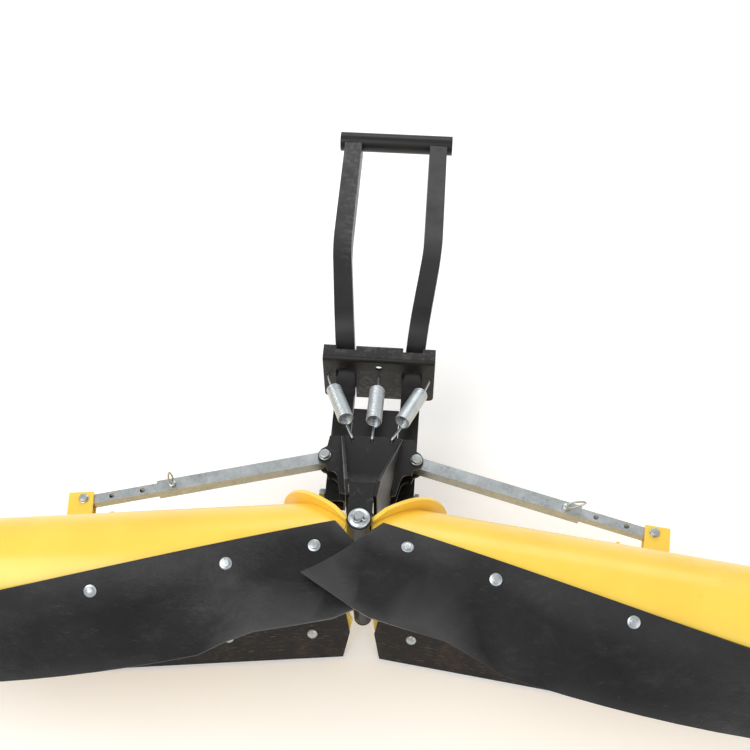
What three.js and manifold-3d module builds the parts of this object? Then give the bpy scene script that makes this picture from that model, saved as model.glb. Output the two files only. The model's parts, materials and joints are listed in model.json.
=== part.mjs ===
// A two-wing V plow blade for an ATV or UTV: a push frame, a spring-loaded trip frame with a
// vertical hinge pin, two curled wings with rubber deflector flaps, and two telescoping struts.
// Millimetres, +Z up, +Y towards the vehicle, +X to the right as seen from in front of the blade.
import * as THREE from 'three';
import { mergeVertices } from 'three/addons/utils/BufferGeometryUtils.js';
import Module from 'manifold-3d';

const wasm = await Module();
wasm.setup();

const IN = 25.4;
const GAP = 0.3;
const RAD = Math.PI / 180;

// The vehicle mount is the origin. The hinge pin's top is here, in the mount's frame.
const PIN_TOP_Y = -42.9 * IN;
const PIN_TOP_Z = 8.0 * IN;

// Hinge pin stack. Heights below are measured from the pin's top.
const PIN_RADIUS = 0.3 * IN;
const PIN_LENGTH = 18.1 * IN;
const BARREL_RADIUS = 0.7 * IN;
const BORE_CLEARANCE = 0.4;
const BORE_RADIUS = PIN_RADIUS + BORE_CLEARANCE;
const STACK_GAP = 1.2;
const COTTER_RADIUS = 0.06 * IN;
const COTTER_DEPTH = 0.2 * IN;
const KNUCKLE = 3.0 * IN;
const PLATE = 0.25 * IN;
const TOP_PLATE_TOP = -0.62 * IN;
const KNUCKLE_TOP = TOP_PLATE_TOP - PLATE - 1;
const KNUCKLE_STEP = KNUCKLE + STACK_GAP;
const CENTRE_BARREL = 4.0 * IN;
const BOTTOM_PLATE_TOP = KNUCKLE_TOP - 4 * KNUCKLE_STEP - CENTRE_BARREL - STACK_GAP;

// Trip frame
const FLOOR_TOP = -8.75 * IN;
const EAR_BOLT = new THREE.Vector2(3.52 * IN, 9.4 * IN);
const EAR_GAP = 1.05 * IN;
const GUSSET_FRONT = new THREE.Vector2(0.93 * IN, 1.7 * IN);
const GUSSET_REAR = new THREE.Vector2(2.3 * IN, 11.2 * IN);
const PIVOT_Y = 8.0 * IN;
const PIVOT_Z = -12.3 * IN;
const PIVOT_BOLT_RADIUS = 0.25 * IN;
const PIVOT_BOLT_REACH = 3.54 * IN;
const HALF_INCH_FLATS = 0.75 * IN;
const EAR_BOLT_RADIUS = 0.25 * IN;
const EAR_HOLE = 0.265 * IN;
const GUSSET_INSET = PLATE / 2 * 1.02 + GAP;
const SHELF_REAR = 11.3 * IN;
const SHELF_FRONT = 8.0 * IN;
const WEB_TOP_Y = 2.75 * IN;
const NOSE_RADIUS = 0.83 * IN;
const LUG_X = 1.18 * IN;
const LUG_HALF = 0.8 * IN;
const SLEEVE_RADIUS = 0.5 * IN;
const FOOT_REAR = 2.8 * IN;
const FOOT_HALF = 1.25 * IN;

// Push frame
const TUBE = 40;
const TUBE_WALL = 3;
const TUBE_Z = PIVOT_Z;
const TUBE_REAR_Z = -PIN_TOP_Z;
const TUBE_FRONT = new THREE.Vector2(2.66 * IN, 7.0 * IN);
const TUBE_RISE_START = new THREE.Vector2(2.74 * IN, 19.1 * IN);
const TUBE_RISE_END = new THREE.Vector3(3.1 * IN, 22.2 * IN, -8.75 * IN);
const TUBE_REAR_X = 3.9 * IN;
const TUBE_LEVEL_Y = 29.5 * IN;
const TUBE_REAR_Y = 42 * IN;
const TUBE_BEND = 1.7 * IN;
const TUBE_STEPS = 56;
const TIE_PLATE_Y = [11 * IN, 15.6 * IN];
const CROSS_Y = 18.7 * IN;
const CROSS_TOP = -8.65 * IN;
const CROSS_HALF = 4.6 * IN;
const CROSS_HEIGHT = 5.5 * IN;
const CROSS_DEPTH = 1.15 * IN;
const CROSS_BEND = 0.35 * IN;
const CROSS_CORNER = 0.45 * IN;
const NOTCH_INNER = 1.93 * IN;
const NOTCH_OUTER = 3.56 * IN;
const NOTCH_TOP = CROSS_TOP - 1.5 * IN;
const FLANGE_NOTCH = 0.4 * IN;
const CENTRE_HOLE_RADIUS = 0.3 * IN;
const CENTRE_HOLE_Z = CROSS_TOP - 1.1 * IN;
const HOOK_HOLE_RADIUS = 0.16 * IN;
const SPRING_HOLE_Z = -11.06 * IN;
const SPRING_HOLE_X = 4.2 * IN;
const REAR_PIPE_RADIUS = 0.875 * IN;
const REAR_PIPE_WALL = 0.2 * IN;
const REAR_PIPE_HALF = 5.2 * IN;

// Springs
const SPRING_RADIUS = 0.64 * IN;
const SPRING_WIRE = 0.09 * IN;
const SPRING_FRONT_X = 1.55 * IN;
const SPRING_FRONT_Y = 10.95 * IN;
const SPRING_BODY = 4.3 * IN;

// Wings: u runs out along the wing, v back from the hinge axis.
const WING_LENGTH = 36 * IN;
const WING_ANGLE = 7 * RAD;
const SHEET = 3.2;
const CURL = { v: -0.9 * IN, z: -5.4 * IN, r: 4.25 * IN, end: 60 * RAD };
const BELLY_RADIUS = 10 * IN;
const BELLY_END = 125 * RAD;
const SHEET_BOTTOM = -19.3 * IN;
const MITRE = 46 * RAD;
const MITRE_U = 0.76 * IN;
const FRONT_RELIEF = 0.5;
const RIM = 0.78 * IN;
const END_PLATE = 0.3 * IN;
const FLAP_EDGE_ANGLE = 13.6 * RAD;
const FLARE = 2.12 * RAD / IN;
const FLAP_EDGE_U = 1.6 * IN;
const LAP = 1.9 * IN;
const GROUND = -20 * IN;
const KNUCKLE_STRAP = 0.55 * IN;
const END_PLATE_LOW = -15.6 * IN;
const END_PLATE_INNER = 0.2 * IN;
const END_PLATE_SHOULDER = 0.65 * IN;
const WEAR_BAR_TOP = -16.4 * IN;
const WEAR_BAR_LOW = GROUND + 0.05 * IN;
const WEAR_BAR = 9.5;
const RAIL_TOP = -17.2 * IN;
const RAIL_START = 3.2 * IN;
const RAIL_DEPTH = 0.5 * IN;
const OUTER_RIB_U = WING_LENGTH - 0.5 * IN;
const RIB_TOP = -5.6 * IN;
const RIB_LOW = -16.9 * IN;
const RIB_TIP = 0.35 * IN;
const MID_RIB_U = 17.5 * IN;
const RIB_DEPTH = 0.75 * IN;

// Rubber flaps
const FLAP_WIDTH = 6.8 * IN;
const FLAP_TAPER = 1.45 * IN;
const FLAP_FULL_U = 1.64 * IN;
const FLAP_THICKNESS = 8;
const FLAP_TIP = 4.5 * IN;
const FLAP_REST = 1.6;
const FLAP_SWEEP = -0.155;
const FLAP_LEVEL_U = 11 * IN;
const FLAP_CROSSING = 0.55 * IN;
const FLAP_CROSSING_U = 10 * IN;
const FLAP_CROSSING_FROM = 0.3 * IN;
const FLAP_CROSSING_RUN = 1.2 * IN;
const FLAP_FADE = 4 * IN;

// Struts
const STRUT_PIVOT = new THREE.Vector2(21.25 * IN, 4.5 * IN);
const STRUT_OUTER = 1.0 * IN;
const STRUT_INNER = 0.75 * IN;
const STRUT_WALL = 0.09 * IN;
const STRUT_Z = FLOOR_TOP - PLATE - EAR_GAP / 2;
const STRUT_OUTER_END = 12.9 * IN;
const STRUT_INNER_START = 6.0 * IN;
const STRUT_END_CLEARANCE = 12;
const HOLE_PITCH = 2.3 * IN;
const LOCK_HOLE = 11.77 * IN;
const LOCK_PIN_RADIUS = 0.18 * IN;
const LOCK_HEAD_RADIUS = 0.3 * IN;
const LOCK_HEAD = 0.22 * IN;
const BAIL_RADIUS = 0.7 * IN;
const BAIL_WIRE = 0.055 * IN;
const CLEVIS_INBOARD = 0.7 * IN;
const CLEVIS_OUTBOARD = 1.15 * IN;
const CLEVIS_OPEN = 0.5 * STRUT_INNER + 1.2;
const CLEVIS_PLATE = 0.19 * IN;
const CLEVIS_BACK_V = 4.15 * IN;
const CLEVIS_REACH = 0.6 * IN;
const CLEVIS_BOLT_RADIUS = 0.19 * IN;
const CLEVIS_BOLT_FLATS = 0.6 * IN;

const yellow = { color: 0xf2c21b, roughness: 0.38, metalness: 0.0 };
const black = { color: 0x1d1c1d, roughness: 0.5, metalness: 0.2 };
const zinc = { color: 0xb4babd, roughness: 0.35, metalness: 0.9 };
const rubber = { color: 0x232323, roughness: 0.8, metalness: 0.0 };
const steel = { color: 0x2b2927, roughness: 0.55, metalness: 0.6 };

const assembly = new THREE.Group();
assembly.position.set(0, PIN_TOP_Y, PIN_TOP_Z);

// ---------- helpers ----------

function bare(geometry) {
  const copy = geometry.clone();
  copy.deleteAttribute('normal');
  copy.deleteAttribute('uv');
  return mergeVertices(copy, 1e-4);
}

function toSolid(geometry) {
  const merged = bare(geometry);
  const vertProperties = new Float32Array(merged.attributes.position.array);
  const triVerts = new Uint32Array(merged.index.array);
  return new wasm.Manifold(new wasm.Mesh({ numProp: 3, vertProperties, triVerts }));
}

function toGeometry(solid) {
  const mesh = solid.getMesh();
  const geometry = new THREE.BufferGeometry();
  geometry.setAttribute('position', new THREE.BufferAttribute(mesh.vertProperties.slice(), 3));
  geometry.setIndex(new THREE.BufferAttribute(mesh.triVerts.slice(), 1));
  return geometry;
}

function cut(body, ...tools) {
  return toGeometry(tools.reduce((solid, tool) => solid.subtract(toSolid(tool)), toSolid(body)));
}

function join(body, ...others) {
  return toGeometry(others.reduce((solid, other) => solid.add(toSolid(other)), toSolid(body)));
}

function common(body, other) {
  return toGeometry(toSolid(body).intersect(toSolid(other)));
}

function signedVolume(geometry) {
  const p = geometry.attributes.position;
  const index = geometry.index.array;
  const [a, b, c] = [new THREE.Vector3(), new THREE.Vector3(), new THREE.Vector3()];
  let volume = 0;
  for (let i = 0; i < index.length; i += 3) {
    a.fromBufferAttribute(p, index[i]);
    b.fromBufferAttribute(p, index[i + 1]);
    c.fromBufferAttribute(p, index[i + 2]);
    volume += a.dot(b.cross(c)) / 6;
  }
  return volume;
}

// Turns the faces outwards, whatever the geometry was mapped or mirrored by.
function facingOut(geometry) {
  const merged = bare(geometry);
  if (signedVolume(merged) < 0) {
    const index = merged.index.array;
    for (let i = 0; i < index.length; i += 3) [index[i], index[i + 1]] = [index[i + 1], index[i]];
  }
  return merged;
}

function mirrored(geometry) {
  return facingOut(geometry.clone().scale(-1, 1, 1));
}

function forSide(side, geometry) {
  return side > 0 ? geometry : mirrored(geometry);
}

function addMesh(parent, name, geometry, look) {
  const shape = geometry.clone();
  shape.deleteAttribute('normal');
  const mesh = new THREE.Mesh(shape, new THREE.MeshStandardMaterial(look));
  mesh.geometry.computeVertexNormals();
  mesh.name = name;
  parent.add(mesh);
  return mesh;
}

function box(x0, x1, y0, y1, z0, z1) {
  const geometry = new THREE.BoxGeometry(x1 - x0, y1 - y0, z1 - z0);
  return geometry.translate((x0 + x1) / 2, (y0 + y1) / 2, (z0 + z1) / 2);
}

// A round bar along Z, from z0 up to z1.
function rod(radius, z0, z1, segments = 24) {
  const geometry = new THREE.CylinderGeometry(radius, radius, z1 - z0, segments);
  return geometry.rotateX(Math.PI / 2).translate(0, 0, (z0 + z1) / 2);
}

function ring(outer, inner, z0, z1, segments = 28) {
  const profile = [[inner, z0], [outer, z0], [outer, z1], [inner, z1], [inner, z0]];
  const points = profile.map(([r, z]) => new THREE.Vector2(r, z));
  return facingOut(new THREE.LatheGeometry(points, segments).rotateX(Math.PI / 2));
}

function hexagon(acrossFlats, z0, z1) {
  return rod(acrossFlats / Math.sqrt(3), z0, z1, 6);
}

// A flat plate whose outline lies in XY, from z0 up to z1.
function plate(points, z0, z1) {
  const shape = new THREE.Shape(points.map(([x, y]) => new THREE.Vector2(x, y)));
  const geometry = new THREE.ExtrudeGeometry(shape, { depth: z1 - z0, bevelEnabled: false });
  return facingOut(geometry.translate(0, 0, z0));
}

function arcPoints(cx, cy, r, from, to, steps) {
  return Array.from({ length: steps + 1 }, (_, i) => {
    const a = from + (to - from) * i / steps;
    return [cx + r * Math.cos(a), cy + r * Math.sin(a)];
  });
}

function squareTube(size, wall) {
  const h = size / 2;
  const w = h - wall;
  const shape = new THREE.Shape([[-h, -h], [h, -h], [h, h], [-h, h]].map((p) => new THREE.Vector2(...p)));
  shape.holes.push(new THREE.Path([[-w, -w], [-w, w], [w, w], [w, -w]].map((p) => new THREE.Vector2(...p))));
  return shape;
}

// A straight square tube along +X, centred on Y and Z.
function straightTube(size, wall, x0, x1) {
  const geometry = new THREE.ExtrudeGeometry(squareTube(size, wall), { depth: x1 - x0, bevelEnabled: false });
  return geometry.rotateY(Math.PI / 2).translate(x0, 0, 0);
}

// ---------- push frame ----------

// The right tube's centre line: low and level at the front, rising steeply behind the crossmember.
function tubePath() {
  const corners = [
    new THREE.Vector3(TUBE_FRONT.x, TUBE_FRONT.y, TUBE_Z),
    new THREE.Vector3(TUBE_RISE_START.x, TUBE_RISE_START.y, TUBE_Z),
    TUBE_RISE_END,
    new THREE.Vector3(TUBE_REAR_X, TUBE_LEVEL_Y, TUBE_REAR_Z),
    new THREE.Vector3(TUBE_REAR_X, TUBE_REAR_Y, TUBE_REAR_Z),
  ];
  const path = new THREE.CurvePath();
  let from = corners[0];
  for (let i = 1; i < corners.length - 1; i += 1) {
    const corner = corners[i];
    const into = corner.clone().add(corners[i - 1].clone().sub(corner).setLength(TUBE_BEND));
    const out = corner.clone().add(corners[i + 1].clone().sub(corner).setLength(TUBE_BEND));
    path.add(new THREE.LineCurve3(from, into));
    path.add(new THREE.QuadraticBezierCurve3(into, corner, out));
    from = out;
  }
  path.add(new THREE.LineCurve3(from, corners[corners.length - 1]));
  return path;
}

function pushTube() {
  const options = { steps: TUBE_STEPS, bevelEnabled: false, extrudePath: tubePath() };
  const tube = facingOut(new THREE.ExtrudeGeometry(squareTube(TUBE, TUBE_WALL), options));
  const hole = rod(PIVOT_BOLT_RADIUS + BORE_CLEARANCE, -TUBE * 3, TUBE * 3).rotateY(Math.PI / 2);
  return cut(tube, hole.translate(0, PIVOT_Y, PIVOT_Z));
}

function crossmember() {
  const back = CROSS_Y + CROSS_DEPTH;
  const front = CROSS_Y - PLATE;
  const r = CROSS_BEND;
  const bottom = CROSS_TOP - CROSS_HEIGHT;
  const profile = [[front, bottom], ...arcPoints(front + r, CROSS_TOP - r, r, Math.PI, Math.PI / 2, 5),
    [back, CROSS_TOP], [back, CROSS_TOP - PLATE], [CROSS_Y, CROSS_TOP - PLATE], [CROSS_Y, bottom]];
  const angle = plate(profile, -CROSS_HALF, CROSS_HALF).rotateY(Math.PI / 2).rotateX(Math.PI / 2);
  const corner = CROSS_CORNER;
  const outline = [
    ...arcPoints(CROSS_HALF - corner, bottom + corner, corner, 0, -Math.PI / 2, 5).reverse(),
    [CROSS_HALF, CROSS_TOP + IN], [-CROSS_HALF, CROSS_TOP + IN],
    ...arcPoints(-CROSS_HALF + corner, bottom + corner, corner, -Math.PI, -Math.PI / 2, 5),
  ];
  const trim = plate(outline, -back - IN, -front + IN).rotateX(Math.PI / 2);
  const flangeNotch = back - FLANGE_NOTCH;
  const tools = [-1, 1].flatMap((side) => {
    const [x0, x1] = [side * NOTCH_INNER, side * NOTCH_OUTER].sort((a, b) => a - b);
    const faceNotch = box(x0, x1, front - IN, CROSS_Y + PLATE, bottom - IN, NOTCH_TOP);
    return [faceNotch, box(x0, x1, flangeNotch, back + IN, CROSS_TOP - IN, CROSS_TOP + IN)];
  });
  const bored = (x, z, radius) => rod(radius, -IN, IN, 20).rotateX(Math.PI / 2).translate(x, CROSS_Y, z);
  const holes = [-SPRING_HOLE_X, 0, SPRING_HOLE_X].map((x) => bored(x, SPRING_HOLE_Z, HOOK_HOLE_RADIUS));
  return cut(common(angle, trim), ...tools, ...holes, bored(0, CENTRE_HOLE_Z, CENTRE_HOLE_RADIUS));
}

function addPushFrame() {
  const tube = pushTube();
  addMesh(assembly, 'push_tube_right', tube, black);
  addMesh(assembly, 'push_tube_left', mirrored(tube), black);
  addMesh(assembly, 'spring_crossmember', crossmember(), black);
  const inner = TUBE_FRONT.x - TUBE / 2 - GAP;
  const tieTop = TUBE_Z + TUBE / 2;
  addMesh(assembly, 'front_tie_plate', box(-inner, inner, ...TIE_PLATE_Y, tieTop - PLATE, tieTop), black);
  const half = REAR_PIPE_HALF;
  const pipe = ring(REAR_PIPE_RADIUS, REAR_PIPE_RADIUS - REAR_PIPE_WALL, -half, half, 32).rotateY(Math.PI / 2);
  addMesh(assembly, 'rear_cross_tube', pipe.translate(0, -PIN_TOP_Y, TUBE_REAR_Z), black);
  const reach = PIVOT_BOLT_REACH;
  const head = hexagon(HALF_INCH_FLATS, reach, reach + 0.32 * IN);
  const shank = rod(PIVOT_BOLT_RADIUS, -reach - 0.46 * IN, reach + 0.16 * IN);
  const bolt = join(shank, head).rotateY(Math.PI / 2).translate(0, PIVOT_Y, PIVOT_Z);
  addMesh(assembly, 'trip_pivot_bolt', bolt, zinc);
  const threadHole = rod(PIVOT_BOLT_RADIUS + GAP, -reach - IN, -reach + IN);
  const nut = cut(hexagon(HALF_INCH_FLATS, -reach - 0.38 * IN, -reach), threadHole);
  addMesh(assembly, 'trip_pivot_nut', nut.rotateY(Math.PI / 2).translate(0, PIVOT_Y, PIVOT_Z), zinc);
}

// ---------- trip frame ----------

function gussetX(y) {
  const t = (y - GUSSET_FRONT.y) / (GUSSET_REAR.y - GUSSET_FRONT.y);
  return GUSSET_FRONT.x + (GUSSET_REAR.x - GUSSET_FRONT.x) * t;
}

// One side plate, standing on edge and closing in towards the hinge pin.
function gusset() {
  const run = GUSSET_REAR.clone().sub(GUSSET_FRONT);
  const length = run.length();
  const along = (y) => (y - GUSSET_FRONT.y) / run.y * length;
  const foot = TUBE_Z + TUBE / 2 + 1.5;
  const bottom = BOTTOM_PLATE_TOP + GAP;
  const top = TOP_PLATE_TOP + 0.05 * IN;
  const sweep = PIVOT_Z + 1.36 * IN;
  const outline = [[0, bottom], [along(2.9 * IN), bottom], [along(6.2 * IN), PIVOT_Z + 0.3 * IN],
    [along(6.75 * IN), sweep], [along(8.2 * IN), sweep], [along(8.6 * IN), foot], [length, foot],
    [length, FLOOR_TOP + 0.1 * IN], [along(2.9 * IN), top], [0, top]];
  const side = plate(outline, -PLATE / 2, PLATE / 2).rotateX(Math.PI / 2);
  side.rotateZ(Math.atan2(run.y, run.x));
  return side.translate(GUSSET_FRONT.x, GUSSET_FRONT.y, 0);
}

// The bent plate between the gussets: spring shelf, sloping web and the pin's top plate.
function springPlate() {
  const rear = SHELF_REAR;
  const shelf = SHELF_FRONT;
  const step = WEB_TOP_Y;
  const nose = NOSE_RADIUS;
  const t = PLATE;
  const lean = 0.19 * IN;
  const profile = [[rear, FLOOR_TOP], [rear, FLOOR_TOP - t], [shelf - lean, FLOOR_TOP - t],
    [step - lean, TOP_PLATE_TOP - t], [-nose, TOP_PLATE_TOP - t], [-nose, TOP_PLATE_TOP],
    [step, TOP_PLATE_TOP], [shelf, FLOOR_TOP]];
  const half = 3 * IN;
  const bent = plate(profile, -half, half).rotateY(Math.PI / 2).rotateX(Math.PI / 2);
  const frontY = GUSSET_FRONT.y - 2;
  const side = [[gussetX(rear) - GUSSET_INSET, rear + 1], [gussetX(frontY) - GUSSET_INSET, frontY],
    [nose, frontY - 1]];
  const otherSide = side.map(([x, y]) => [-x, y]).reverse();
  const outline = [...side, ...arcPoints(0, 0, nose, 0, -Math.PI, 14), ...otherSide];
  const trim = plate(outline, GROUND, IN);
  const holes = [-1, 0, 1].map((i) => rod(HOOK_HOLE_RADIUS, FLOOR_TOP - IN, FLOOR_TOP + IN, 16)
    .translate(i * SPRING_FRONT_X, SPRING_FRONT_Y, 0));
  return cut(common(bent, trim), rod(BORE_RADIUS, -2 * IN, IN), ...holes);
}

// A rounded ear outside a gusset, with the strut bolt's hole.
function ear(z0, z1) {
  const lobe = { x: 3.25 * IN, y: EAR_BOLT.y, r: 0.8 * IN };
  const rear = 11.2 * IN;
  const outline = [[gussetX(rear) + GUSSET_INSET, rear], [3.3 * IN, rear], [3.42 * IN, 10.25 * IN],
    ...arcPoints(lobe.x, lobe.y, lobe.r, 62 * RAD, -80 * RAD, 14),
    ...arcPoints(3.0 * IN, 7.55 * IN, 0.6 * IN, 70 * RAD, 170 * RAD, 8),
    [2.1 * IN, 6.3 * IN], [gussetX(6.2 * IN) + GUSSET_INSET, 6.2 * IN]];
  return cut(plate(outline, z0, z1), rod(EAR_HOLE, z0 - IN, z1 + IN).translate(EAR_BOLT.x, EAR_BOLT.y, 0));
}

function centreBarrel() {
  const top = KNUCKLE_TOP - 2 * KNUCKLE_STEP;
  const barrel = rod(BARREL_RADIUS, top - CENTRE_BARREL, top, 32);
  const half = gussetX(GUSSET_FRONT.y) - GUSSET_INSET - GAP;
  const neck = box(-0.45 * IN, 0.45 * IN, 0.3 * IN, 1.3 * IN, top - CENTRE_BARREL, top);
  const block = box(-half, half, 1.2 * IN, 2.4 * IN, top - CENTRE_BARREL, top);
  return cut(join(barrel, neck, block), rod(BORE_RADIUS, GROUND, 0));
}

function addTripFrame() {
  addMesh(assembly, 'spring_plate', springPlate(), black);
  const sidePlate = gusset();
  const upper = ear(FLOOR_TOP - PLATE, FLOOR_TOP);
  const lowerTop = FLOOR_TOP - PLATE - EAR_GAP;
  const lower = ear(lowerTop - PLATE + 1, lowerTop);
  const lugTop = FLOOR_TOP - PLATE - GAP;
  const lugLow = PIVOT_Z - LUG_HALF;
  const lugHole = rod(PIVOT_BOLT_RADIUS + BORE_CLEARANCE, -TUBE * 2, TUBE * 2).rotateY(Math.PI / 2);
  lugHole.translate(0, PIVOT_Y, PIVOT_Z);
  const lugBody = box(LUG_X, LUG_X + PLATE, PIVOT_Y - LUG_HALF, PIVOT_Y + LUG_HALF, lugLow, lugTop);
  const lug = cut(lugBody, lugHole);
  for (const side of [1, -1]) {
    const word = side > 0 ? 'right' : 'left';
    addMesh(assembly, `gusset_${word}`, forSide(side, sidePlate), black);
    addMesh(assembly, `strut_ear_upper_${word}`, forSide(side, upper), black);
    addMesh(assembly, `strut_ear_lower_${word}`, forSide(side, lower), black);
    addMesh(assembly, `trip_lug_${word}`, forSide(side, lug), black);
    const head = hexagon(HALF_INCH_FLATS, FLOOR_TOP + GAP, FLOOR_TOP + 0.32 * IN);
    const bolt = join(head, rod(EAR_BOLT_RADIUS, lowerTop - 0.2 * IN, FLOOR_TOP + 0.1 * IN));
    addMesh(assembly, `strut_ear_bolt_${word}`, bolt.translate(side * EAR_BOLT.x, EAR_BOLT.y, 0), zinc);
  }
  const sleeveHalf = LUG_X - 0.5;
  const sleeve = ring(SLEEVE_RADIUS, PIVOT_BOLT_RADIUS + BORE_CLEARANCE, -sleeveHalf, sleeveHalf);
  sleeve.rotateY(Math.PI / 2);
  addMesh(assembly, 'trip_pivot_sleeve', sleeve.translate(0, PIVOT_Y, PIVOT_Z), black);
  addMesh(assembly, 'hinge_centre_barrel', centreBarrel(), black);
  const foot = [...arcPoints(0, 0, BARREL_RADIUS, 0, -Math.PI, 14), [-FOOT_HALF, FOOT_REAR],
    [FOOT_HALF, FOOT_REAR]];
  const bottomPlate = plate(foot, BOTTOM_PLATE_TOP - PLATE, BOTTOM_PLATE_TOP);
  addMesh(assembly, 'hinge_bottom_plate', cut(bottomPlate, rod(BORE_RADIUS, GROUND, 0)), black);
  const cotterHole = rod(COTTER_RADIUS + BORE_CLEARANCE, -IN, IN, 12).rotateY(Math.PI / 2);
  cotterHole.translate(0, 0, -COTTER_DEPTH);
  addMesh(assembly, 'hinge_pin', cut(rod(PIN_RADIUS, -PIN_LENGTH, 0, 32), cotterHole), zinc);
  const washer = ring(0.735 * IN, BORE_RADIUS, TOP_PLATE_TOP + GAP, TOP_PLATE_TOP + 0.24 * IN, 32);
  addMesh(assembly, 'hinge_washer', washer, zinc);
  const cotter = rod(COTTER_RADIUS, -0.55 * IN, 0.55 * IN, 12).rotateY(Math.PI / 2);
  cotter.translate(0, 0, -COTTER_DEPTH);
  addMesh(assembly, 'hinge_cotter', cotter, zinc);
}

// ---------- springs ----------

// A plain hollow coil body along the line between its two hook holes, with straight hook stems.
function spring(front, rear) {
  const axis = rear.clone().sub(front);
  const length = axis.length();
  const start = (length - SPRING_BODY) / 2;
  const profile = [[0, start], [SPRING_RADIUS, start], [SPRING_RADIUS, length - start], [0, length - start]];
  const points = profile.map(([r, z]) => new THREE.Vector2(r, z));
  const body = facingOut(new THREE.LatheGeometry(points, 20).rotateX(Math.PI / 2));
  const stem = rod(SPRING_WIRE, 0.35 * IN, length - 0.35 * IN, 8);
  const shape = join(body, stem);
  const turn = new THREE.Quaternion().setFromUnitVectors(new THREE.Vector3(0, 0, 1), axis.normalize());
  shape.applyQuaternion(turn);
  return shape.translate(front.x, front.y, front.z);
}

function addSprings() {
  const names = ['trip_spring_left', 'trip_spring_middle', 'trip_spring_right'];
  names.forEach((name, i) => {
    const front = new THREE.Vector3((i - 1) * SPRING_FRONT_X, SPRING_FRONT_Y + 0.2 * IN, FLOOR_TOP + 0.35 * IN);
    const rear = new THREE.Vector3((i - 1) * SPRING_HOLE_X, CROSS_Y - PLATE - 1, SPRING_HOLE_Z);
    addMesh(assembly, name, spring(front, rear), zinc);
  });
}

// ---------- wings ----------

// The moldboard's back surface at a distance s round its section from the crown.
function section(s) {
  const curlEnd = CURL.r * CURL.end;
  if (s <= curlEnd) return onArc(CURL.v, CURL.z, CURL.r, s / CURL.r);
  const cv = CURL.v + (CURL.r - BELLY_RADIUS) * Math.sin(CURL.end);
  const cz = CURL.z + (CURL.r - BELLY_RADIUS) * Math.cos(CURL.end);
  const bellyEnd = curlEnd + BELLY_RADIUS * (BELLY_END - CURL.end);
  if (s <= bellyEnd) return onArc(cv, cz, BELLY_RADIUS, CURL.end + (s - curlEnd) / BELLY_RADIUS);
  const last = onArc(cv, cz, BELLY_RADIUS, BELLY_END);
  const run = s - bellyEnd;
  return { ...last, v: last.v + run * Math.cos(BELLY_END), z: last.z - run * Math.sin(BELLY_END) };
}

function onArc(cv, cz, r, a) {
  return { v: cv + r * Math.sin(a), z: cz + r * Math.cos(a), nv: Math.sin(a), nz: Math.cos(a) };
}

// How far round the section the height z is reached below the crown.
function sectionAtHeight(z) {
  let low = 0;
  let high = 60 * IN;
  for (let i = 0; i < 60; i += 1) {
    const mid = (low + high) / 2;
    if (section(mid).z > z) low = mid;
    else high = mid;
  }
  return low;
}

function innerEnd(v) {
  return MITRE_U + (v >= 0 ? v / Math.tan(MITRE) : -v * FRONT_RELIEF);
}

function flapEdge(u) {
  return CURL.r * (FLAP_EDGE_ANGLE - FLARE * (u - FLAP_EDGE_U));
}

// Bends a flat block to the wing: place(p, q, r) gives [u, v, z] for each corner of its grid.
function bentBlock(along, round, place) {
  const geometry = bare(new THREE.BoxGeometry(1, 1, 1, along, round, 1));
  const p = geometry.attributes.position;
  for (let i = 0; i < p.count; i += 1) {
    p.setXYZ(i, ...place(p.getX(i) + 0.5, p.getY(i) + 0.5, p.getZ(i) + 0.5));
  }
  return facingOut(geometry);
}

// A curved strip on the section, from sTop(u) down to sLow, between two offsets off the back face.
function sectionStrip(along, round, sTop, sLow, offsetIn, offsetOut) {
  return bentBlock(along, round, (p, q, r) => {
    const nominal = MITRE_U + (WING_LENGTH - MITRE_U) * p;
    const s = sTop(nominal) + (sLow - sTop(nominal)) * q;
    const at = section(s);
    const w = offsetIn + (offsetOut - offsetIn) * r;
    const u0 = innerEnd(at.v) + GAP;
    return [u0 + (WING_LENGTH - u0) * p, at.v + at.nv * w, at.z + at.nz * w];
  });
}

function moldboard() {
  const low = sectionAtHeight(SHEET_BOTTOM);
  return sectionStrip(12, 40, (u) => flapEdge(u) - LAP, low, -SHEET, 0);
}

// The steel cutting edge, bolted to the front of the moldboard's foot.
function wearBar() {
  const top = sectionAtHeight(WEAR_BAR_TOP);
  const low = sectionAtHeight(WEAR_BAR_LOW);
  return sectionStrip(2, 2, () => top, low, -SHEET - GAP - WEAR_BAR, -SHEET - GAP);
}

// The angle that stiffens the foot of the moldboard from behind.
function lowerRail() {
  const top = sectionAtHeight(RAIL_TOP);
  const low = sectionAtHeight(SHEET_BOTTOM + 0.3 * IN);
  return bentBlock(1, 1, (p, q, r) => {
    const at = section(top + (low - top) * q);
    const w = GAP + RAIL_DEPTH * r;
    return [RAIL_START + (OUTER_RIB_U - RAIL_START) * p, at.v + at.nv * w, at.z + at.nz * w];
  });
}

// The flat end plate in the mitre plane; its edge stands proud of the curl.
function innerEndPlate() {
  const sin = Math.sin(MITRE);
  const steps = 34;
  const from = flapEdge(MITRE_U) + 0.02 * IN;
  const to = sectionAtHeight(END_PLATE_LOW);
  const points = [[END_PLATE_INNER, END_PLATE_LOW]];
  for (let i = steps; i >= 0; i -= 1) {
    const at = section(from + (to - from) * i / steps);
    const m = (at.v + at.nv * RIM) / sin;
    if (m > END_PLATE_SHOULDER) points.push([m, at.z + at.nz * RIM]);
  }
  points.push([END_PLATE_SHOULDER - 0.05 * IN, KNUCKLE_TOP], [END_PLATE_INNER, KNUCKLE_TOP]);
  const side = plate(points, 0, END_PLATE).rotateX(Math.PI / 2);
  return facingOut(side.scale(1, -1, 1)).rotateZ(MITRE).translate(MITRE_U, 0, 0);
}

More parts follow.
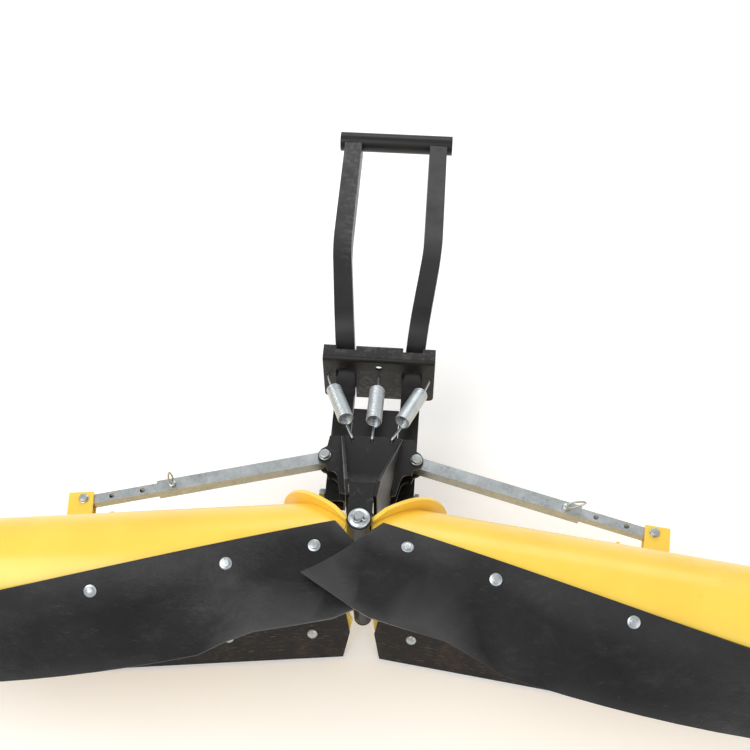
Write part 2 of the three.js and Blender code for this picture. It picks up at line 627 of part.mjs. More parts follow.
// A hinge barrel with the strap that carries it on the end plate.
function knuckle(top) {
  const sin = Math.sin(MITRE);
  const cos = Math.cos(MITRE);
  const barrel = rod(BARREL_RADIUS, top - KNUCKLE, top, 32);
  const near = END_PLATE + 2 * GAP;
  const strap = box(-MITRE_U * cos, KNUCKLE_STRAP, near, MITRE_U * sin, top - KNUCKLE, top);
  strap.rotateZ(MITRE).translate(MITRE_U, 0, 0);
  return cut(join(barrel, strap), rod(BORE_RADIUS, GROUND, IN));
}

// A crescent rib across the back of the moldboard.
function rib(u) {
  const from = sectionAtHeight(RIB_TOP);
  const to = sectionAtHeight(RIB_LOW);
  const steps = 18;
  const points = [];
  for (let i = 0; i <= steps; i += 1) {
    const at = section(from + (to - from) * i / steps);
    points.push([at.v + at.nv * GAP, at.z + at.nz * GAP]);
  }
  for (let i = steps; i >= 0; i -= 1) {
    const t = i / steps;
    const at = section(from + (to - from) * t);
    const rise = RIB_TIP + (RIB_DEPTH - RIB_TIP) * Math.sin(Math.PI * t);
    points.push([at.v + at.nv * rise, at.z + at.nz * rise]);
  }
  return plate(points, -PLATE / 2, PLATE / 2).rotateY(Math.PI / 2).rotateX(Math.PI / 2).translate(u, 0, 0);
}

// The strut bracket in the wing's frame: the pivot's place there.
function strutPivotOnWing() {
  const c = Math.cos(WING_ANGLE);
  const s = Math.sin(WING_ANGLE);
  const { x, y } = STRUT_PIVOT;
  return new THREE.Vector2(x * c - y * s, x * s + y * c);
}

// A channel on the moldboard's back: two tabs for the strut bolt and a web on the outboard side.
function strutClevis() {
  const at = strutPivotOnWing();
  const u0 = at.x - CLEVIS_INBOARD;
  const u1 = at.x + CLEVIS_OUTBOARD;
  const end = at.y + CLEVIS_REACH;
  const tabs = [-1, 1].map((d) => box(u0, u1, CLEVIS_BACK_V, end,
    STRUT_Z + (d > 0 ? CLEVIS_OPEN : -CLEVIS_OPEN - CLEVIS_PLATE),
    STRUT_Z + (d > 0 ? CLEVIS_OPEN + CLEVIS_PLATE : -CLEVIS_OPEN)));
  const low = STRUT_Z - CLEVIS_OPEN - CLEVIS_PLATE;
  const high = STRUT_Z + CLEVIS_OPEN + CLEVIS_PLATE;
  const back = box(u0, u1, CLEVIS_BACK_V, CLEVIS_BACK_V + CLEVIS_PLATE, low, high);
  const web = box(u1 - CLEVIS_PLATE, u1, CLEVIS_BACK_V, end, low, high);
  const hole = rod(CLEVIS_BOLT_RADIUS + GAP, STRUT_Z - 2 * IN, STRUT_Z + 2 * IN, 20).translate(at.x, at.y, 0);
  return cut(join(back, web, ...tabs), hole);
}

function clevisBolt() {
  const top = STRUT_Z + CLEVIS_OPEN + CLEVIS_PLATE;
  const low = STRUT_Z - CLEVIS_OPEN - CLEVIS_PLATE;
  const shank = rod(CLEVIS_BOLT_RADIUS, low - 0.4 * IN, top + 0.1 * IN, 20);
  const bolt = join(hexagon(CLEVIS_BOLT_FLATS, top + GAP, top + 0.27 * IN), shank);
  const threadHole = rod(CLEVIS_BOLT_RADIUS + GAP, low - IN, low + IN, 20);
  const nut = cut(hexagon(CLEVIS_BOLT_FLATS, low - 0.33 * IN, low - GAP), threadHole);
  const at = strutPivotOnWing();
  return { bolt: bolt.translate(at.x, at.y, 0), nut: nut.translate(at.x, at.y, 0) };
}

function smooth(t) {
  const c = Math.min(Math.max(t, 0), 1);
  return c * c * (3 - 2 * c);
}

// The flap: q runs forward from its bolted edge; its inner end is cut back to a point. The right
// one rides up over the left one where they cross.
function flapLift(side, u, w) {
  if (side < 0) return 0;
  const along = smooth((FLAP_CROSSING_U - u) / FLAP_FADE);
  return FLAP_CROSSING * along * smooth((w - FLAP_CROSSING_FROM) / FLAP_CROSSING_RUN);
}

function flap(side) {
  return bentBlock(20, 8, (p, q, r) => {
    const innerU = FLAP_EDGE_U - FLAP_TIP * q;
    const u = innerU + (WING_LENGTH - innerU) * p ** 1.5;
    const taper = Math.max(0, (FLAP_FULL_U - u) / (FLAP_FULL_U - FLAP_EDGE_U + FLAP_TIP));
    const w = (FLAP_WIDTH - FLAP_TAPER * taper) * q;
    const edgeU = Math.max(u, FLAP_EDGE_U);
    const lap = Math.min(w, LAP);
    const beyond = w - lap;
    const at = section(flapEdge(edgeU) - lap);
    const level = smooth((FLAP_LEVEL_U - u) / FLAP_FADE);
    const off = FLAP_REST + FLAP_THICKNESS * r;
    const sideways = (u - edgeU) * FLAP_SWEEP;
    const v = at.v - at.nz * beyond + at.nv * off + sideways;
    const z = at.z + at.nv * beyond * (1 - level) + at.nz * off;
    return [u, v, z + flapLift(side, u, w)];
  });
}

function addWing(side) {
  const word = side > 0 ? 'right' : 'left';
  const wing = new THREE.Group();
  wing.rotation.z = -side * WING_ANGLE;
  assembly.add(wing);
  const add = (name, geometry, look) => addMesh(wing, `${word}_${name}`, forSide(side, geometry), look);
  add('moldboard', moldboard(), yellow);
  add('inner_end_plate', innerEndPlate(), yellow);
  const upperSlot = side > 0 ? 0 : 1;
  const upper = KNUCKLE_TOP - upperSlot * KNUCKLE_STEP;
  const lower = KNUCKLE_TOP - (2 + upperSlot) * KNUCKLE_STEP - CENTRE_BARREL - STACK_GAP;
  add('upper_knuckle', knuckle(upper), black);
  add('lower_knuckle', knuckle(lower), black);
  add('mid_rib', rib(MID_RIB_U), yellow);
  add('outer_rib', rib(OUTER_RIB_U), yellow);
  add('lower_rail', lowerRail(), yellow);
  add('strut_clevis', strutClevis(), yellow);
  const { bolt, nut } = clevisBolt();
  add('clevis_bolt', bolt, zinc);
  add('clevis_nut', nut, zinc);
  add('wear_bar', wearBar(), steel);
  add('flap', flap(side), rubber);
}

// ---------- struts ----------

function addStrut(side) {
  const word = side > 0 ? 'right' : 'left';
  const run = STRUT_PIVOT.clone().sub(EAR_BOLT);
  const length = run.length();
  const strut = new THREE.Group();
  strut.position.set(side * EAR_BOLT.x, EAR_BOLT.y, STRUT_Z);
  strut.rotation.z = side > 0 ? Math.atan2(run.y, run.x) : Math.atan2(run.y, -run.x);
  assembly.add(strut);
  const across = (x, r) => rod(r, -IN, IN, 16).translate(x, 0, 0);
  const outer = cut(straightTube(STRUT_OUTER, STRUT_WALL, -0.62 * IN, STRUT_OUTER_END),
    across(0, EAR_HOLE), across(LOCK_HOLE, LOCK_PIN_RADIUS + GAP));
  addMesh(strut, `strut_outer_tube_${word}`, outer, zinc);
  const end = length - STRUT_END_CLEARANCE;
  const holes = [-1, 0, 1, 2].map((i) => across(LOCK_HOLE + i * HOLE_PITCH, LOCK_PIN_RADIUS + GAP));
  const inner = cut(straightTube(STRUT_INNER, STRUT_WALL, STRUT_INNER_START, end), ...holes);
  addMesh(strut, `strut_inner_tube_${word}`, inner, zinc);
  const seat = STRUT_OUTER / 2;
  const head = rod(LOCK_HEAD_RADIUS, seat + GAP, seat + LOCK_HEAD, 20);
  const pin = join(head, rod(LOCK_PIN_RADIUS, STRUT_INNER / 2 + 0.4, seat + 0.1 * IN, 16));
  addMesh(strut, `lock_pin_${word}`, pin.translate(LOCK_HOLE, 0, 0), zinc);
  const bail = facingOut(new THREE.TorusGeometry(BAIL_RADIUS, BAIL_WIRE, 8, 28));
  bail.translate(LOCK_HOLE, seat + LOCK_HEAD + BAIL_RADIUS + BAIL_WIRE + GAP, 0).rotateX(Math.PI / 2);
  addMesh(strut, `lock_pin_bail_${word}`, bail, zinc);
}

addPushFrame();
addTripFrame();
addSprings();
addWing(1);
addWing(-1);
addStrut(1);
addStrut(-1);

export default assembly;
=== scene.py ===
import json
import math

import bmesh
import bpy
from mathutils import Matrix, Vector, noise
from mathutils.bvhtree import BVHTree


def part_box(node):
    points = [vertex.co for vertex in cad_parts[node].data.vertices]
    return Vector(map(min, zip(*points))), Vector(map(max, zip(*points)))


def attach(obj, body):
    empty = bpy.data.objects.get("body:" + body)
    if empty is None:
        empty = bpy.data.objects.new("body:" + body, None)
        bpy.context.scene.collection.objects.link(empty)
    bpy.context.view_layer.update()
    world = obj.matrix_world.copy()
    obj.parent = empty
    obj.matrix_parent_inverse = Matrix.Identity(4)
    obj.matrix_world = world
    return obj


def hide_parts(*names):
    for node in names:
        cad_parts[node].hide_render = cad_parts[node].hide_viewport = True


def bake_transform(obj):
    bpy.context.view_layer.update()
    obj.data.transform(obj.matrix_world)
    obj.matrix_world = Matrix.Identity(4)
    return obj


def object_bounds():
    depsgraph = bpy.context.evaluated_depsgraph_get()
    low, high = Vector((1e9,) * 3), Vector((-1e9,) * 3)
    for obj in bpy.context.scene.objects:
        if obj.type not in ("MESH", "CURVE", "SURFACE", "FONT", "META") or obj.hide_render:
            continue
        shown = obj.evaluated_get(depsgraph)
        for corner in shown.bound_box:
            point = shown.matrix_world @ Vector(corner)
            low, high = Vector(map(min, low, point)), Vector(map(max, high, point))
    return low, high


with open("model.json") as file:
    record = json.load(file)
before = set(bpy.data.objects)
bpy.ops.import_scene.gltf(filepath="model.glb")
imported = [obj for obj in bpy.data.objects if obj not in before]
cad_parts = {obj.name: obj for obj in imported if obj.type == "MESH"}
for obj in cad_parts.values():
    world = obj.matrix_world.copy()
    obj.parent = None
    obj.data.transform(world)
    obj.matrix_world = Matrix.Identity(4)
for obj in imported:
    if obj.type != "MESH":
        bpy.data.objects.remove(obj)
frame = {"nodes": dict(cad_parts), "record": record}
CAD_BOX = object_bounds()
NODES = frame["nodes"]
IN = 0.0254
SIDES = {"right": 1, "left": -1}
HINGE_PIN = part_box("hinge_pin")
PIN_TOP = Vector((0, (HINGE_PIN[0].y + HINGE_PIN[1].y) / 2, HINGE_PIN[1].z))
UP = Vector((0, 0, 1))


# ---------- camera, floor and lights ----------

CAMERA_HEADING = math.radians(4.56)
CAMERA_PITCH = math.radians(55.4)
CAMERA_ROLL = math.radians(0.64)
CAMERA_FROM_PIN = Vector((0.0965, -0.841, 1.633))
CAMERA_LENS = 52.8
SENSOR_WIDTH = 36
WORLD_STRENGTH = 0.62
FLOOR_SIZE = 30
FLOOR_GAP = 0.002
# Each light: name, place from the object's middle in metres, size in metres, power in watts.
AREA_LIGHTS = (("key", (-1.6, -1.2, 3.2), (2.6, 2.0), 62),
               ("fill", (2.2, -2.4, 2.0), (2.2, 2.2), 20),
               ("rear", (0.4, 3.0, 2.4), (3.0, 1.4), 34))


def add_camera():
    """The photograph's viewpoint, solved from the hinge pin, bolts and strut tubes."""
    heading, pitch, roll = CAMERA_HEADING, CAMERA_PITCH, CAMERA_ROLL
    place = PIN_TOP + CAMERA_FROM_PIN
    ahead = Vector((-math.sin(heading), math.cos(heading), 0))
    right = Vector((math.cos(heading), math.sin(heading), 0))
    look = ahead * math.cos(pitch) - UP * math.sin(pitch)
    up = right.cross(look)
    cam_x = right * math.cos(roll) - up * math.sin(roll)
    cam_y = right * math.sin(roll) + up * math.cos(roll)
    data = bpy.data.cameras.new("camera")
    data.lens = CAMERA_LENS
    data.sensor_width = SENSOR_WIDTH
    camera = bpy.data.objects.new("camera", data)
    camera.matrix_world = Matrix((
        (cam_x.x, cam_y.x, -look.x, place.x),
        (cam_x.y, cam_y.y, -look.y, place.y),
        (cam_x.z, cam_y.z, -look.z, place.z),
        (0, 0, 0, 1)))
    bpy.context.scene.collection.objects.link(camera)
    bpy.context.scene.camera = camera


def add_area(name, place, target, size, power):
    data = bpy.data.lights.new(name, "AREA")
    data.shape = "RECTANGLE"
    data.size, data.size_y = size
    data.energy = power
    light = bpy.data.objects.new(name, data)
    light.location = place
    light.rotation_euler = (target - place).to_track_quat("-Z", "Y").to_euler()
    bpy.context.scene.collection.objects.link(light)


def add_studio():
    """An even white surround, three area lights and a pale floor just below the object."""
    world = bpy.data.worlds.new("studio")
    bpy.context.scene.world = world
    world.use_nodes = True
    background = world.node_tree.nodes["Background"]
    background.inputs["Color"].default_value = (1, 1, 1, 1)
    background.inputs["Strength"].default_value = WORLD_STRENGTH
    middle = (CAD_BOX[0] + CAD_BOX[1]) / 2
    for name, offset, size, power in AREA_LIGHTS:
        add_area(name, middle + Vector(offset), middle, size, power)
    bpy.ops.mesh.primitive_plane_add(size=FLOOR_SIZE, location=(0, 0, CAD_BOX[0].z - FLOOR_GAP))
    floor = bpy.context.object
    floor.name = "floor"
    floor.data.materials.append(floor_material())


# ---------- materials ----------

COAT_ROUGHNESS = 0.12


class Nodes:
    """A short way to build one material's node tree."""

    def __init__(self, name):
        self.material = bpy.data.materials.new(name)
        self.material.use_nodes = True
        self.tree = self.material.node_tree
        self.bsdf = self.tree.nodes["Principled BSDF"]

    def add(self, kind):
        return self.tree.nodes.new(kind)

    def link(self, source, target):
        self.tree.links.new(source, target)

    def coords(self, scale=(1, 1, 1)):
        place = self.add("ShaderNodeTexCoord")
        mapping = self.add("ShaderNodeMapping")
        mapping.inputs["Scale"].default_value = scale
        self.link(place.outputs["Object"], mapping.inputs["Vector"])
        return mapping.outputs["Vector"]

    def noise(self, scale, detail=4.0, roughness=0.5, stretch=(1, 1, 1)):
        node = self.add("ShaderNodeTexNoise")
        node.inputs["Scale"].default_value = scale
        node.inputs["Detail"].default_value = detail
        node.inputs["Roughness"].default_value = roughness
        self.link(self.coords(stretch), node.inputs["Vector"])
        return node.outputs["Fac"]

    def cells(self, scale):
        node = self.add("ShaderNodeTexVoronoi")
        node.inputs["Scale"].default_value = scale
        self.link(self.coords(), node.inputs["Vector"])
        return node.outputs["Distance"]

    def ramp(self, source, low, high, first=0.0, last=1.0):
        node = self.add("ShaderNodeMapRange")
        node.inputs["From Min"].default_value = low
        node.inputs["From Max"].default_value = high
        node.inputs["To Min"].default_value = first
        node.inputs["To Max"].default_value = last
        self.link(source, node.inputs["Value"])
        return node.outputs["Result"]

    def math(self, operation, a, b):
        node = self.add("ShaderNodeMath")
        node.operation = operation
        for socket, value in zip(node.inputs, (a, b)):
            if isinstance(value, (int, float)):
                socket.default_value = value
            else:
                self.link(value, socket)
        return node.outputs[0]

    def mix(self, factor, a, b):
        node = self.add("ShaderNodeMix")
        node.data_type = "RGBA"
        self.link(factor, node.inputs["Factor"])
        for socket, value in ((node.inputs[6], a), (node.inputs[7], b)):
            if isinstance(value, tuple):
                socket.default_value = (*value, 1)
            else:
                self.link(value, socket)
        return node.outputs[2]

    def edges(self, low, high):
        """How far a point stands out on a convex edge, from 0 to 1."""
        geometry = self.add("ShaderNodeNewGeometry")
        return self.ramp(geometry.outputs["Pointiness"], low, high)

    def bump(self, heights):
        """heights: [(socket, strength, distance)], laid one over another."""
        normal = None
        for height, strength, distance in heights:
            node = self.add("ShaderNodeBump")
            node.inputs["Strength"].default_value = strength
            node.inputs["Distance"].default_value = distance
            self.link(height, node.inputs["Height"])
            if normal is not None:
                self.link(normal, node.inputs["Normal"])
            normal = node.outputs["Normal"]
        self.link(normal, self.bsdf.inputs["Normal"])

    def finish(self, color, rough, metallic=0.0, coat=0.0, specular=0.5):
        self.link(color, self.bsdf.inputs["Base Color"])
        self.link(rough, self.bsdf.inputs["Roughness"])
        self.bsdf.inputs["Metallic"].default_value = metallic
        self.bsdf.inputs["Coat Weight"].default_value = coat
        self.bsdf.inputs["Coat Roughness"].default_value = COAT_ROUGHNESS
        self.bsdf.inputs["Specular IOR Level"].default_value = specular
        return self.material


def floor_material():
    """Pale, faintly uneven ground with a little glow of its own."""
    n = Nodes("studio_floor")
    shade = n.ramp(n.noise(3.0), 0.3, 0.7)
    color = n.mix(shade, (0.95, 0.95, 0.955), (0.975, 0.975, 0.98))
    n.bsdf.inputs["Emission Color"].default_value = (1, 1, 1, 1)
    n.bsdf.inputs["Emission Strength"].default_value = 0.2
    return n.finish(color, n.ramp(n.noise(9.0), 0.2, 0.8, 0.65, 0.8))


def paint_material(name, deep, bright, worn, rough, edge, coat, specular=0.5):
    """Powder coat: soft colour drift, fine orange peel, hairline scratches, rubbed edges."""
    n = Nodes(name)
    drift = n.ramp(n.noise(7.0, 5.0), 0.3, 0.7)
    base = n.mix(drift, deep, bright)
    grime = n.ramp(n.noise(38.0, 8.0, 0.68), 0.6, 0.78, 0.0, 0.22)
    base = n.mix(grime, base, tuple(0.55 * c for c in deep))
    patches = n.ramp(n.noise(90.0, 6.0, 0.6), 0.48, 0.62)
    rubbed = n.math("MULTIPLY", n.math("MULTIPLY", n.edges(0.55, 0.66), patches), edge)
    color = n.mix(rubbed, base, worn)
    scratch = n.ramp(n.noise(60.0, 3.0, 0.5, (1, 14, 9)), 0.63, 0.68)
    gloss = n.ramp(n.noise(24.0, 6.0, 0.6), 0.3, 0.75, rough - 0.06, rough + 0.1)
    gloss = n.math("ADD", gloss, n.math("MULTIPLY", scratch, 0.1))
    peel = n.noise(420.0, 2.0)
    n.bump([(peel, 0.10, 0.0004), (n.noise(18.0, 3.0), 0.12, 0.0015), (scratch, 0.05, 0.0002)])
    return n.finish(color, gloss, 0.0, coat, specular)


def zinc_material(name, dark, light, rough):
    """Zinc plate: faint spangle, fine grain, dull spots and a cloudy passivated tint."""
    n = Nodes(name)
    cloud = n.ramp(n.noise(30.0, 6.0, 0.6), 0.3, 0.7)
    base = n.mix(cloud, dark, light)
    spangle = n.ramp(n.cells(160.0), 0.1, 0.7, 0.0, 0.35)
    base = n.mix(spangle, base, tuple(min(1.0, 1.12 * c) for c in light))
    dull = n.ramp(n.noise(55.0, 7.0, 0.7), 0.58, 0.72, 0.0, 0.25)
    base = n.mix(dull, base, tuple(0.6 * c for c in dark))
    grain = n.noise(260.0, 2.0)
    gloss = n.math("ADD", n.ramp(cloud, 0, 1, rough, rough + 0.12), n.ramp(grain, 0.4, 0.6, 0.0, 0.08))
    n.bump([(grain, 0.08, 0.0003), (n.noise(140.0, 3.0), 0.08, 0.0004)])
    return n.finish(base, gloss, 0.92)


def rubber_material():
    """Reinforced rubber sheet: fine skin, mould marks, scuffs and pale dust in the low spots."""
    n = Nodes("flap_rubber")
    drift = n.ramp(n.noise(5.0, 6.0, 0.6), 0.42, 0.68)
    base = n.mix(drift, (0.003, 0.003, 0.0034), (0.013, 0.0125, 0.0135))
    scuff = n.ramp(n.noise(17.0, 9.0, 0.74, (1, 2.2, 1)), 0.52, 0.72, 0.0, 0.8)
    scuff = n.math("MULTIPLY", scuff, n.ramp(drift, 0, 1, 0.25, 1.0))
    base = n.mix(scuff, base, (0.04, 0.038, 0.041))
    streak = n.ramp(n.noise(42.0, 6.0, 0.66, (1, 5, 1)), 0.62, 0.72, 0.0, 0.35)
    base = n.mix(streak, base, (0.07, 0.07, 0.075))
    specks = n.ramp(n.cells(240.0), 0.0, 0.1, 0.4, 0.0)
    base = n.mix(specks, base, (0.05, 0.05, 0.05))
    # Lighter convex edges: a painted highlight that makes the flap's edges show, standing also for edge
    # wear.
    base = n.mix(n.math("MULTIPLY", n.edges(0.505, 0.56), 0.6), base, (0.12, 0.12, 0.122))
    gloss = n.ramp(n.noise(34.0, 7.0, 0.65), 0.3, 0.7, 0.3, 0.5)
    n.bump([(n.noise(10.0, 4.0, 0.6), 0.35, 0.006), (n.noise(110.0, 7.0, 0.75), 0.5, 0.002),
            (n.cells(520.0), 0.15, 0.0004)])
    return n.finish(base, gloss, 0.0, 0.0, 0.3)


def wear_steel_material():
    """Bare dark steel: brown rust in patches and bright scrapes."""
    n = Nodes("wear_steel")
    rust = n.ramp(n.noise(22.0, 8.0, 0.7), 0.5, 0.68, 0.0, 0.6)
    base = n.mix(rust, (0.028, 0.025, 0.023), (0.075, 0.05, 0.036))
    scrape = n.ramp(n.noise(48.0, 4.0, 0.6, (1, 1, 16)), 0.6, 0.66)
    color = n.mix(n.math("MULTIPLY", scrape, 0.35), base, (0.2, 0.19, 0.18))
    gloss = n.ramp(n.noise(40.0, 6.0), 0.3, 0.7, 0.42, 0.6)
    n.bump([(n.noise(150.0, 6.0, 0.7), 0.25, 0.0008), (scrape, 0.15, 0.0004)])
    return n.finish(color, gloss, 0.55)


MATERIALS = {
    "painted_yellow": paint_material("painted_yellow", (0.94, 0.61, 0.062), (0.98, 0.69, 0.09),
                                     (0.5, 0.3, 0.08), 0.36, 0.5, 0.25),
    "black_paint": paint_material("black_paint", (0.0065, 0.006, 0.0062), (0.009, 0.0085, 0.0085),
                                  (0.09, 0.085, 0.08), 0.36, 0.6, 0.0, 0.42),
    "zinc_plate": zinc_material("zinc_plate", (0.35, 0.38, 0.39), (0.55, 0.585, 0.6), 0.24),
    "spring_wire": zinc_material("spring_wire", (0.45, 0.49, 0.51), (0.64, 0.68, 0.7), 0.24),
    "flap_rubber": rubber_material(),
    "wear_steel": wear_steel_material(),
}
SLOT_OF = {row["node"]: row["material_slot"] for row in frame["record"]["subparts"]}


# ---------- finishing the CAD nodes ----------

# Edge radius by kind of piece, in metres; the first word found in the node's name counts.
EDGE_RADII = {"push_tube": 0.006, "outer_tube": 0.0032, "inner_tube": 0.0025, "moldboard": 0.0009,
              "flap": 0.0024, "wear_bar": 0.0015, "bolt": 0.0007, "nut": 0.0007, "washer": 0.0008,
              "hinge_pin": 0.001, "cross_tube": 0.001, "barrel": 0.0012, "knuckle": 0.0012}
OTHER_EDGE_RADIUS = 0.0014
FLAT_ENOUGH = math.radians(0.8)
SHARP_EDGE = math.radians(34)
WELD_REACH = 0.00002


def edge_radius(name):
    for word, width in EDGE_RADII.items():
        if word in name:
            return width
    return OTHER_EDGE_RADIUS


def finish_cad_node(name, node):
    """Material, rounded edges and even shading; the node's own mesh is left as it is."""
    node.data.materials.clear()
    node.data.materials.append(MATERIALS[SLOT_OF[name]])
    for polygon in node.data.polygons:
        polygon.use_smooth = True
    weld = node.modifiers.new("weld", "WELD")
    weld.merge_threshold = WELD_REACH
    flatten = node.modifiers.new("flatten", "DECIMATE")
    flatten.decimate_type = "DISSOLVE"
    flatten.angle_limit = FLAT_ENOUGH
    bevel = node.modifiers.new("bevel", "BEVEL")
    bevel.width = edge_radius(name)
    bevel.segments = 3
    bevel.limit_method = "ANGLE"
    bevel.angle_limit = SHARP_EDGE
    bevel.use_clamp_overlap = True
    shade = node.modifiers.new("shade", "WEIGHTED_NORMAL")
    shade.keep_sharp = False


# ---------- mesh helpers ----------

BEAD_STEP = 0.0011


def new_piece(name, bm, slot, body=None):
    """A visible piece from a bmesh, with its material; body is the one it rides, if it rides one."""
    mesh = bpy.data.meshes.new(name)
    bmesh.ops.recalc_face_normals(bm, faces=bm.faces)
    bm.to_mesh(mesh)
    bm.free()
    piece = bpy.data.objects.new(name, mesh)
    bpy.context.scene.collection.objects.link(piece)
    mesh.materials.append(MATERIALS[slot])
    for polygon in mesh.polygons:
        polygon.use_smooth = True
    if body:
        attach(piece, body)
    return piece


def join_rings(bm, rings):
    """Side faces between each ring of vertices and the next."""
    for low, high in zip(rings, rings[1:]):
        for k in range(len(low)):
            after = (k + 1) % len(low)
            bm.faces.new((low[k], low[after], high[after], high[k]))


def close_ends(bm, rings):
    bm.faces.new(list(reversed(rings[0])))
    bm.faces.new(rings[-1])


def sweep(bm, path, radius, sides):
    """A round wire along a list of points, with closed ends; radius is one number or one a point."""
    radii = radius if hasattr(radius, "__len__") else [radius] * len(path)
    tangents = []
    for i in range(len(path)):
        before, after = path[max(i - 1, 0)], path[min(i + 1, len(path) - 1)]
        tangents.append((after - before).normalized())
    normal = tangents[0].orthogonal().normalized()
    rings = []
    for i, point in enumerate(path):
        if i:
            normal = tangents[i - 1].rotation_difference(tangents[i]) @ normal
        side = tangents[i].cross(normal)
        rings.append([bm.verts.new(point + (normal * math.cos(a) + side * math.sin(a)) * radii[i])
                      for a in (2 * math.pi * k / sides for k in range(sides))])
    join_rings(bm, rings)
    close_ends(bm, rings)


def lathe(bm, profile, place, sides, hexed=(), closed=False):
    """A turned shape: profile is [(radius, height)]; place is a matrix. Rows in hexed are six-sided.
    A closed profile joins its last row to its first, as in a ring."""
    rings = []
    for row, (radius, height) in enumerate(profile):
        ring = []
        for k in range(sides):
            a = 2 * math.pi * k / sides
            reach = radius
            if row in hexed:
                reach = radius / math.cos((a % (math.pi / 3)) - math.pi / 6)
            point = Vector((reach * math.cos(a), reach * math.sin(a), height))
            ring.append(bm.verts.new(place @ point))
        rings.append(ring)
    if closed:
        rings.append(rings[0])
    join_rings(bm, rings)
    if not closed:
        close_ends(bm, rings)


def frame_at(point, up, turn=0.0):
    """The matrix that puts a shape's foot at point and its Z along up, turned about it."""
    rotation = Vector(up).to_track_quat("Z", "Y")
    return Matrix.Translation(point) @ rotation.to_matrix().to_4x4() @ Matrix.Rotation(turn, 4, "Z")


def hex_bolt(bm, point, up, size, turn):
    """A hexagon head with a chamfered crown on a washer; up points away from the seat.
    size is the head's width across flats, the head's height and the washer's radius."""
    flats, height, washer = size
    place = frame_at(point, up, turn)
    thick = 0.16 * height + 0.0007
    lathe(bm, [(0, 0), (washer - 0.0004, 0), (washer, 0.0004), (washer, thick - 0.0004),
               (washer - 0.0004, thick), (flats * 0.45, thick)], place, 36)
    r = flats / 2
    top = thick + height
    crown = [(r * 0.985, top - height * 0.12), (r * 0.9, top - 0.0001), (r * 0.8, top), (0, top)]
    lathe(bm, [(r * 0.96, thick), (r, thick + 0.0005), (r, top - height * 0.2)] + crown,
          place, 48, hexed=(0, 1, 2))


def shank_rows(radius, low):
    """A bolt's shank from just above its seat down to low, with a small chamfer at the end."""
    return [(0, low), (radius - 0.0005, low), (radius, low + 0.0008), (radius, 0.001), (0, 0.001)]


def domed_bolt(bm, point, up, radius, height):
    """A carriage bolt's low dome."""
    rows = [(0, 0), (radius, 0), (radius, height * 0.18)]
    for a in (0.3, 0.6, 0.9, 1.2, 1.45):
        rows.append((radius * math.cos(a), height * (0.18 + 0.82 * math.sin(a))))
    lathe(bm, rows + [(0, height)], frame_at(point, up), 28)


def weld_bead(bm, start, end, radius, seed):
    """A rippled fillet bead between two points."""
    run = end - start
    steps = max(8, int(run.length / BEAD_STEP))
    path, radii = [], []
    for i in range(steps + 1):
        t = i / steps
        wander = noise.noise(Vector((seed, t * run.length * 160, 0))) * radius * 0.12
        path.append(start + run * t + Vector((wander, wander, -wander)))
        ripple = 0.88 + 0.12 * abs(math.sin(math.pi * i / 2.6 + seed))
        ends = min(1.0, 0.55 + 6 * min(t, 1 - t))
        radii.append(radius * ripple * ends)
    sweep(bm, path, radii, 9)


# ---------- coil springs ----------

PLATE = 0.25 * IN
COIL_RADIUS = 0.64 * IN
WIRE = 0.095 * IN
COIL_LENGTH = 4.3 * IN
COIL_SIDES = 30
HOOK_DROP = 0.0125
HOOK_CURL = 0.0036
# The outer springs' holes, in inches across, back and up from the hinge pin's top. The middle
# spring's are on the centre line. A spring's axis starts a little above and behind its front hole.
FRONT_HOLE = (1.55, 10.95, -8.75)
REAR_HOLE = (4.2, 18.7, -11.06)
FRONT_END = Vector((0, 0.2 * IN, 0.35 * IN))


def along(origin, axis, right, up, point):
    return origin + right * point[0] + up * point[1] + axis * point[2]


def coil_spring(name, front, rear, front_hole, rear_hole, node):
    """A close-wound extension spring whose wire runs straight on into a hook at each end."""
    axis = (rear - front).normalized()
    right = axis.cross(UP).normalized()
    up = right.cross(axis)
    middle = (front + rear) / 2
    origin = middle - axis * COIL_LENGTH / 2
    mean = COIL_RADIUS - WIRE
    pitch = WIRE * 2.06
    turns = math.floor((COIL_LENGTH - 2 * WIRE) / pitch)
    coil = []
    for i in range(turns * COIL_SIDES + 1):
        a = 2 * math.pi * i / COIL_SIDES - math.pi / 2
        place = (mean * math.cos(a), mean * math.sin(a), WIRE + pitch * i / COIL_SIDES)
        coil.append(along(origin, axis, right, up, place))
    lead_in = [hook_point(front_hole, drop) for drop in (HOOK_DROP, 0.008, 0.004)]
    over = front_hole + Vector((0, 0, 0.005))
    first = coil[0]
    lead_in += bezier(over, over + Vector((0, 0.001, 0.006)),
                      first - axis * 0.016, first - axis * 0.003, 10)
    last = coil[-1]
    lead_out = bezier(last + axis * 0.003, last + axis * 0.016,
                      rear_hole - Vector((0, 0.009, 0)), rear_hole, 10)
    for back, drop in ((0.005, 0), (0.009, 0.001), (0.0125, 0.003)):
        lead_out.append(rear_hole + Vector((0, back, -drop)))
    bm = bmesh.new()
    sweep(bm, lead_in + coil + lead_out, WIRE, 9)
    piece = new_piece(name, bm, "spring_wire")
    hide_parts(node)
    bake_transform(piece)


def hook_point(hole, drop):
    """A point of the front hook, drop below the hole and curling back as it goes."""
    return hole + Vector((0, HOOK_CURL * (drop / HOOK_DROP) ** 2, -drop))


def bezier(a, b, c, d, steps):
    """Points inside a cubic curve from a to d, without its two ends."""
    points = []
    for i in range(steps):
        t = (i + 0.5) / steps
        rest = 1 - t
        points.append(a * rest ** 3 + b * 3 * t * rest ** 2 + c * 3 * t * t * rest + d * t ** 3)
    return points


